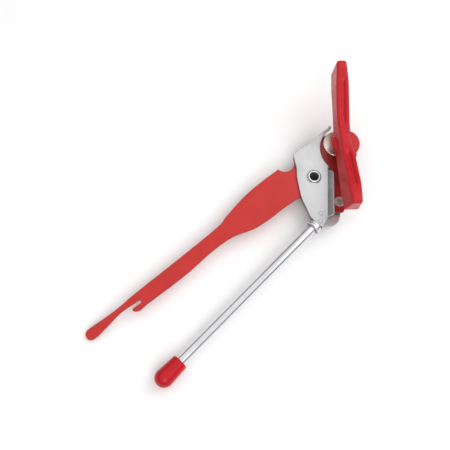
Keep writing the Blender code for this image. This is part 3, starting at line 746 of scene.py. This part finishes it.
def lever():
    """The stamping with its bore for the pivot, its bearing's hole and its eyelet's hole."""
    stations = list(np.linspace(BEND_X + 3.0, BEND_X - 3.0, 5))
    stations += list(np.arange(CURL_X, -202.0, -2.0))
    cuts = [((float(x), 0.0, 0.0), (1.0, 0.0, 0.0)) for x in stations]
    loops = [lever_outline(), hole(PIVOT, PIVOT_HOLE), hole(KEY_AXIS, BUSH_HOLE),
             hole(TAIL_HOLE, EYELET_HOLE)]
    sheet_piece("lever_sheet", loops, LEVER_LOW, LEVER_HIGH, "lever_arm", ["lever"],
                ENAMEL, edge=0.35, cuts=cuts, bend=set_back)


lever()

# %% [markdown]
# ## The key
# Key and hub are one moulding. The wings' cross-section is a wedge: wide at the rear, narrow at the
# front, where the thumb pushes. It rises towards both tips. The section is a function of the distance
# u along the wings, rounded corner by corner; the hub is turned. A voxel remesh joins the two skins
# into one, and smoothing gives the soft fillets of a moulding.

# %% Key wings
KEY_TURN = math.radians(55.5)
WING_LENGTH, WING_OFFSET = 56.9, 2.2
FRONT_Z, FRONT_RISE, FRONT_HALF = 27.5, 13.8, 3.8
REAR_Z, REAR_RISE, REAR_HALF = 13.5, 9.0, 6.5
TIP_ROUND = 2.4
TIP_NARROW, NARROW_FROM = 1.1, 0.7
TWIST, TWIST_RUN = 1.6, 20.0
GROOVE_FROM, GROOVE_TO, GROOVE_HALF, GROOVE_DEPTH = 10.0, 43.0, 1.6, 1.3
# Share of each side that a corner's rounding takes up, the two rear corners first.
ROUND_BEFORE = np.array([0.13, 0.13, 0.08, 0.08])
ROUND_AFTER = np.array([0.13, 0.05, 0.20, 0.08])
LEAN, LEAN_HEIGHT = 0.035, 18.8  # the tips' ends lean in by this share, over this height


def wing_points(around_corner=5, per_edge=7, stations=150):
    """Wedge sections on a grid (station, point round the section), in millimetres.

    With q = |u| / length: front = z0 + rise (3 q^2 - 2 q^3), rear = z1 + rise (1 - (1 - q)^2). The
    half widths narrow over the last third, all corners shrink on a quarter circle at the tip, and the
    front face widens to one side of each wing, opposite sides on the two, as a propeller does.
    """
    u = WING_LENGTH * np.sin(np.linspace(-np.pi / 2, np.pi / 2, stations))
    q = np.abs(u) / WING_LENGTH
    front = FRONT_Z + FRONT_RISE * q ** 2 * (3 - 2 * q)
    rear = REAR_Z + REAR_RISE * (1 - (1 - q) ** 2)
    narrow = TIP_NARROW * np.clip((q - NARROW_FROM) / (1 - NARROW_FROM), 0, 1)
    near, far = FRONT_HALF - narrow, REAR_HALF - narrow
    run = np.clip(np.abs(u) / TWIST_RUN, 0, 1)
    widen = TWIST * run ** 2 * (3 - 2 * run)
    left, right = near + widen * (u > 0), near + widen * (u < 0)
    last = np.clip((np.abs(u) - WING_LENGTH + TIP_ROUND) / TIP_ROUND, 0, 1)
    shrink = TIP_ROUND * 0.55 * (1 - np.sqrt(np.maximum(1 - last ** 2, 0.0)))
    corner = np.stack([np.stack(pair, axis=1) for pair in (
        (shrink - far, rear + shrink), (far - shrink, rear + shrink),
        (left - shrink, front - shrink), (shrink - right, front - shrink))], axis=1)
    start = corner + (np.roll(corner, 1, axis=1) - corner) * ROUND_BEFORE[None, :, None]
    stop = corner + (np.roll(corner, -1, axis=1) - corner) * ROUND_AFTER[None, :, None]
    t = np.linspace(0, 1, around_corner)[None, None, :, None]
    bend = ((1 - t) ** 2 * start[:, :, None] + 2 * t * (1 - t) * corner[:, :, None]
            + t ** 2 * stop[:, :, None])
    loop = bend.reshape(stations, -1, 2)
    share = np.linspace(0, 1, per_edge, endpoint=False)[None, None, :, None]
    dense = loop[:, :, None] * (1 - share) + np.roll(loop, -1, axis=1)[:, :, None] * share
    dense = dense.reshape(stations, -1, 2)
    v, z = dense[..., 0], dense[..., 1]
    along = np.abs(u)[:, None]
    inside = np.clip((along - GROOVE_FROM) / 2.5, 0, 1) * np.clip((GROOVE_TO - along) / 2.5, 0, 1)
    middle = (left - right)[:, None] / 2
    across = np.clip((GROOVE_HALF - np.abs(v - middle)) / 0.6, 0, 1)
    near_front = z > (front[:, None] - 0.5)
    z = z - GROOVE_DEPTH * inside * across * near_front
    lean = 1 - LEAN * last[:, None] * (FRONT_Z + FRONT_RISE - z) / LEAN_HEIGHT
    return np.stack([u[:, None] * lean, v + WING_OFFSET, z], axis=-1)


# %% Join wings and hub
# The hub from its rear face to its crown: a foot, a cone that widens, a rounded face.
HUB = [(6.6, 9.4), (7.4, 9.9), (7.4, 12.0), (10.5, 16.0), (10.5, 18.4), (9.6, 19.5), (7.6, 19.8)]
HUB_AROUND = 128
VOXEL = 0.42 * MM


def turning_key():
    """Weld wings and hub with a voxel remesh, then relax the skin."""
    grid = wing_points()
    rows, columns = grid.shape[:2]
    to_axis = Matrix.Translation((KEY_AXIS[0], KEY_AXIS[1], 0))
    turn = np.array(to_axis @ Matrix.Rotation(KEY_TURN, 4, "Z"))
    wings = grid.reshape(-1, 3) @ turn[:3, :3].T + turn[:3, 3]
    faces = grid_faces(rows, columns)
    faces += [list(range(columns)), list(range((rows - 1) * columns, rows * columns))]
    profile = filleted(HUB, 0.9, 5)
    hub = ring_points(profile, HUB_AROUND, to_axis)
    first = len(wings)
    faces += grid_faces(len(profile), HUB_AROUND, offset=first)
    last = first + (len(profile) - 1) * HUB_AROUND
    faces += [list(range(end, end + HUB_AROUND)) for end in (first, last)]
    piece = add_piece("key_moulding", np.vstack([wings, hub]), faces, "key_drive",
                      ["turning_key"], PLASTIC)
    weld = piece.modifiers.new("weld", "REMESH")
    weld.mode = "VOXEL"
    weld.voxel_size = VOXEL
    weld.use_smooth_shade = True
    relax = piece.modifiers.new("relax", "SMOOTH")
    relax.factor = 0.5
    relax.iterations = 5
    graph = bpy.context.evaluated_depsgraph_get()
    skin = bpy.data.meshes.new_from_object(piece.evaluated_get(graph))
    piece.modifiers.clear()
    piece.data = skin
    skin.name = "key_moulding"
    skin.materials.clear()
    skin.materials.append(PLASTIC)
    print("key skin:", len(skin.polygons), "faces")


turning_key()

# %% [markdown]
# ## Rod, socket, collar and cap
# The rod's own axis leans and drops towards the cap. A matrix takes a piece turned about Z to that
# axis. The collar is pressed tube with two ridges, the part that shows the chrome best.

# %% Along the rod
ROD_START = Vector((-20.5, -29.5, 4.9))
ROD_END = Vector((-181.8, -56.0, 0.85))
ROD_RADIUS, SOCKET_RADIUS, CAP_RADIUS, CAP_LENGTH = 3.5, 4.7, 6.75, 22.5
BORE_GAP = 0.3                  # between the rod and what it sits in
DOME = 7.0
ROD_AXIS = ROD_END - ROD_START
ROD_LENGTH = ROD_AXIS.length
ROD_PLACE = Matrix.Translation(ROD_START) @ ROD_AXIS.to_track_quat("Z", "Y").to_matrix().to_4x4()
print("rod axis", round(ROD_LENGTH, 1), "mm")


def rod_and_cap():
    """Rod, collar, barrel and cap as turned profiles (radius, height) on the rod's axis."""
    turned("rod_tube", [(ROD_RADIUS - 0.5, 2.5), (ROD_RADIUS, 3.0), (ROD_RADIUS, ROD_LENGTH - 4.5),
                        (ROD_RADIUS - 0.5, ROD_LENGTH - 4.0)], None, "rod_handle", ["handle_rod"],
           CHROME, place=ROD_PLACE)
    inner = SOCKET_RADIUS + BORE_GAP
    ridges = [(5.2, 1.3), (5.85, 1.6), (5.85, 2.7), (5.25, 3.15), (5.85, 3.6), (5.85, 4.7),
              (5.2, 5.0), (inner, 5.0), (inner, 1.3)]
    turned("collar_pressed", ridges, None, "rod_handle", ["rod_collar"], CHROME,
           hollow=True, place=ROD_PLACE, fillet=0.5)
    mouth = ROD_LENGTH - CAP_LENGTH
    angle = np.radians(np.linspace(0, 88, 14))
    crown = np.stack([CAP_RADIUS * np.cos(angle), ROD_LENGTH - DOME + DOME * np.sin(angle)], axis=1)
    bore = ROD_RADIUS + BORE_GAP
    body = [(bore, ROD_LENGTH - 3.4), (bore, mouth), (5.3, mouth), (5.85, mouth + 0.7),
            (5.95, mouth + 3.0), (6.3, mouth + 9.0)]
    turned("cap_moulding", np.vstack([body, crown]), None, "rod_handle", ["end_cap"],
           PLASTIC, place=ROD_PLACE, fillet=0.5)


rod_and_cap()


# %% Socket
def socket():
    """The tongue between the cheeks, and the barrel that runs into it: two pieces on one body."""
    low, high = 3.3, 6.4
    tongue = filleted([(-10.4, -27.6), (-10.4, -23.5), (-13.5, -21.5), (-19.2, -23.5), (-21.8, -26.4),
                       (-22.2, -32.8), (-18.8, -33.2)], 0.8, 4, closed=True)
    sheet_piece("socket_tongue", [tongue], low, high, "rod_handle", ["rod_socket"],
                NICKEL, edge=0.3)
    bore = ROD_RADIUS + BORE_GAP
    turned("socket_barrel", [(SOCKET_RADIUS, 0.9), (SOCKET_RADIUS, 5.4), (bore, 5.4), (bore, 2.2)],
           None, "rod_handle", [], NICKEL, place=ROD_PLACE, fillet=0.2)


socket()

# %% [markdown]
# ## Pivot rivet and small rivets
# The pivot is a tube whose front end is rolled outwards over the cheek: a bright ring round a dark
# bore. The two small rivets below hold the socket's tongue; their heads are flush with the cheek.

# %% Rivets
def rivets():
    """Turned profiles from the rear head to the rolled rim."""
    front = CHEEK_HIGH
    rim = front + RIVET_RIM
    shape = [(5.2, 0.0), (5.6, 0.3), (5.6, 1.2), (4.2, 1.2), (4.2, front + 0.05), (5.5, front + 0.05),
             (5.6, front + 0.35), (5.3, front + 0.6), (5.0, front + 0.2), (4.75, front + 0.25),
             (4.6, rim - 0.3), (4.2, rim), (3.7, rim - 0.05), (3.3, rim - 0.6), (3.2, rim - 1.4),
             (3.2, 1.6)]
    turned("rivet_rolled", shape, PIVOT, "rod_handle", ["pivot_rivet"], RIVET_METAL,
           fillet=0.18)
    for node in ("socket_rivet_1", "socket_rivet_2"):
        head = [(2.2, 0.4), (2.8, 0.7), (2.8, 1.2), (1.5, 1.2), (1.5, front - 0.12), (1.38, front)]
        turned("head_" + node, head, axis_of(node), "rod_handle", [node], NICKEL,
               around=48, fillet=0.15)


rivets()

# %% [markdown]
# ## Washers, bushes and the small turned pieces
# Each of these is a ring. The table gives its radii and heights; the same turning rounds the edges.

# %% Rings
def ring(name, node, outer, inner, low, high, centre, body, finish):
    """A flat ring with rounded edges between two heights."""
    turned(name, [(outer, low), (outer, high), (inner, high), (inner, low)], centre, body, [node],
           finish, hollow=True, fillet=0.18)


ring("washer_pivot", "pivot_washer", 7.5, 4.5, 3.3, 4.1, PIVOT, "rod_handle", STEEL_PIVOT)
ring("washer_key", "key_washer", 6.5, 3.3, 8.0, 9.1, KEY_AXIS, "key_drive", STEEL_KEY)
ring("bush_lever", "lever_bush", 6.1, 3.3, 4.4, 6.65, KEY_AXIS, "lever_arm", STEEL_KEY)
ring("spacer_feed", "feed_spacer", 4.6, 3.3, -1.2, 4.1, KEY_AXIS, "key_drive", STEEL_KEY)


def eyelet_and_disc():
    """The rolled eyelet in the tail, and the eccentric disc, whole because the shaft fills its bore."""
    low, high = 4.1, 6.45
    roll = [(3.6, low - 0.5), (3.9, low - 0.05), (2.8, low), (2.8, high), (3.9, high),
            (3.8, high + 0.12), (3.2, high + 0.18), (2.4, high + 0.10), (2.2, high - 0.2),
            (2.2, low - 0.5)]
    turned("eyelet_rolled", roll, TAIL_HOLE, "lever_arm", ["hang_eyelet"], NICKEL,
           hollow=True, fillet=0.12)
    disc = [(10.0, 6.7), (10.0, 7.45), (9.65, 7.7), (0.02, 7.7)]
    turned("disc_eccentric", disc, DISC_AXIS, "lever_arm", ["eccentric_disc"],
           STEEL_DISC, fillet=0.12)


eyelet_and_disc()

# %% [markdown]
# ## Feed wheel, nuts, shaft and cutter
# The toothed wheel grips under the tin's rim. Its outline is the radius less a cosine of twenty waves,
# and a bevel takes the teeth down at both faces. A hexagon is r / cos of the angle to the nearest flat.

# %% Drive and cutter
TEETH, FEED_RADIUS, TOOTH_DEPTH = 20, 7.8, 0.9
NUT_FLAT = 3.46                 # from a nut's middle to its flats


def toothed(radius, height, angle):
    """Radius less depth times (half less half a cosine) to the 0.7; the bore stays round."""
    valley = TOOTH_DEPTH * (0.5 - 0.5 * np.cos(TEETH * angle)) ** 0.7
    return radius - valley * (radius > 5.0)


def hexagonal(radius, height, angle):
    """Distance to a hexagon's flat, held inside the chamfer's circle; the bore stays round."""
    sixth = np.pi / 3
    flat = NUT_FLAT / np.cos((angle + sixth / 2) % sixth - sixth / 2)
    return np.where(radius > 3.0, np.minimum(radius, flat), radius)


def drive():
    """Shaft, toothed wheel and its nut on the key's axis."""
    turned("shaft_round", [(1.7, -5.9), (2.0, -5.6), (2.0, -3.7), (2.3, -3.7), (2.3, -1.5), (3.0, -1.5),
                           (3.0, 21.0)], KEY_AXIS, "key_drive", ["drive_shaft"],
           STEEL_KEY, fillet=0.15)
    turned("wheel_toothed", [(FEED_RADIUS - 0.35, -3.7), (FEED_RADIUS, -3.35), (FEED_RADIUS, -1.9),
                             (FEED_RADIUS - 0.35, -1.55), (2.6, -1.55), (2.6, -3.7)], KEY_AXIS,
           "key_drive", ["feed_wheel"], STEEL_KEY, around=400, hollow=True,
           shape=toothed, fillet=0.1)
    for name, node, axis, low, high, bore, body in (
            ("nut_feed", "feed_wheel_nut", KEY_AXIS, -5.5, -4.0, 2.3, "key_drive"),
            ("nut_cutter", "cutter_nut", CUTTER_AXIS, -3.0, -1.8, 2.3, "rod_handle")):
        turned(name, [(3.5, low), (4.0, low + 0.3), (4.0, high - 0.3), (3.5, high), (bore, high),
                      (bore, low)], axis, body, [node], NICKEL, around=192,
               hollow=True, shape=hexagonal, fillet=0.05)


def cutter():
    """Stud, flanged bush and the bevelled cutting disc."""
    turned("stud_cutter", [(1.7, -3.3), (2.0, -3.0), (2.0, -1.5), (2.6, -1.5), (2.6, 3.3), (4.2, 3.3),
                           (4.2, 4.1)], CUTTER_AXIS, "rod_handle", ["cutter_stud"],
           STEEL_CUTTER, fillet=0.12)
    turned("bush_cutter", [(4.0, -1.2), (4.0, 0.4), (5.2, 0.4), (5.2, 1.2), (2.9, 1.2), (2.9, -1.2)],
           CUTTER_AXIS, "rod_handle", ["cutter_bush"], STEEL_CUTTER, hollow=True,
           fillet=0.1)
    turned("disc_cutter", [(8.5, -1.2), (8.6, -1.1), (8.6, -1.0), (7.0, 0.1), (4.3, 0.1), (4.3, -1.2)],
           CUTTER_AXIS, "cutter_disc", ["cutter_wheel"], STEEL_CUTTER, hollow=True,
           around=160, fillet=0.05)


drive()
cutter()

# %% [markdown]
# ## Floor, light and camera
# The opener lies on a pale sheet and is seen from above. Polished metal shows the room more than
# itself, so the room matters: it is bright overhead and greyer towards the horizon, which draws the
# dark lines along the rod. A soft light from the right leaves the faces that look left in shade, and
# a second one, from the front, lifts them.

# %% Floor
FLOOR_GAP = 0.4


def floor():
    """A wide pale sheet under the lowest point of the opener."""
    mesh = bpy.data.meshes.new("floor")
    reach, low = 9.0, (span("drive_shaft")[0][2] - FLOOR_GAP) * MM
    mesh.from_pydata([(-reach, -reach, low), (reach, -reach, low), (reach, reach, low),
                      (-reach, reach, low)], [], [(0, 1, 2, 3)])
    sheet = bpy.data.objects.new("floor", mesh)
    bpy.context.collection.objects.link(sheet)
    material = bpy.data.materials.new("paper")
    material.use_nodes = True
    shader = material.node_tree.nodes["Principled BSDF"]
    shader.inputs["Base Color"].default_value = (0.93, 0.93, 0.93, 1.0)
    shader.inputs["Roughness"].default_value = 0.9
    shader.inputs["Specular IOR Level"].default_value = 0.1
    mesh.materials.append(material)


floor()


# %% Room and lights
def room():
    """World colour = a ramp over the direction's height: grey at the horizon, white overhead."""
    world = bpy.data.worlds.new("studio")
    bpy.context.scene.world = world
    world.use_nodes = True
    tree = world.node_tree
    background = tree.nodes["Background"]
    coordinates = tree.nodes.new("ShaderNodeTexCoord")
    split = tree.nodes.new("ShaderNodeSeparateXYZ")
    ramp = tree.nodes.new("ShaderNodeValToRGB")
    stops = ((0.0, 0.30), (0.10, 0.16), (0.34, 0.30), (0.62, 0.95), (1.0, 1.0))
    elements = ramp.color_ramp.elements
    for element, (position, grey) in zip(elements[:], (stops[0], stops[-1])):
        element.position = position
        element.color = (grey, grey, grey, 1.0)
    for position, grey in stops[1:-1]:
        elements.new(position).color = (grey, grey, grey, 1.0)
    tree.links.new(coordinates.outputs["Generated"], split.inputs["Vector"])
    tree.links.new(split.outputs["Z"], ramp.inputs["Fac"])
    path = tree.nodes.new("ShaderNodeLightPath")
    mix = tree.nodes.new("ShaderNodeMix")
    mix.data_type = "RGBA"
    mix.inputs["B"].default_value = (0.9, 0.9, 0.9, 1.0)
    tree.links.new(path.outputs["Is Camera Ray"], mix.inputs["Factor"])
    tree.links.new(ramp.outputs["Color"], mix.inputs["A"])
    tree.links.new(mix.outputs["Result"], background.inputs["Color"])
    background.inputs["Strength"].default_value = 0.97


def soft_light(name, place, target, size, power):
    """A square area light aimed at a point; lengths in metres."""
    data = bpy.data.lights.new(name, "AREA")
    data.size = size
    data.energy = power
    lamp = bpy.data.objects.new(name, data)
    bpy.context.collection.objects.link(lamp)
    lamp.location = place
    lamp.rotation_euler = (Vector(target) - Vector(place)).to_track_quat("-Z", "Y").to_euler()


room()
soft_light("main", (0.62, -0.10, 0.62), (-0.02, 0.0, 0.0), 0.8, 3.0)
soft_light("fill", (-0.45, -0.75, 0.9), (-0.07, 0.0, 0.0), 0.8, 4.2)
bpy.context.scene.view_settings.view_transform = "Standard"


# %% Camera
def camera():
    """Aim from a place at a point, with the camera turned so that `upright` points up."""
    place = Vector((-233.5, -131.2, 570.5)) * MM
    target = Vector((-76.9, 7.85, 8.2)) * MM
    upright = Vector((0.6, 0.8, 0.0))
    forward = (target - place).normalized()
    right = forward.cross(upright).normalized()
    up = right.cross(forward)
    data = bpy.data.cameras.new("camera")
    data.angle = 2 * math.atan(0.27)
    data.clip_start = 0.01
    item = bpy.data.objects.new("camera", data)
    bpy.context.collection.objects.link(item)
    turn = Matrix((right, up, -forward)).transposed().to_4x4()
    item.matrix_world = Matrix.Translation(place) @ turn
    bpy.context.scene.camera = item


camera()
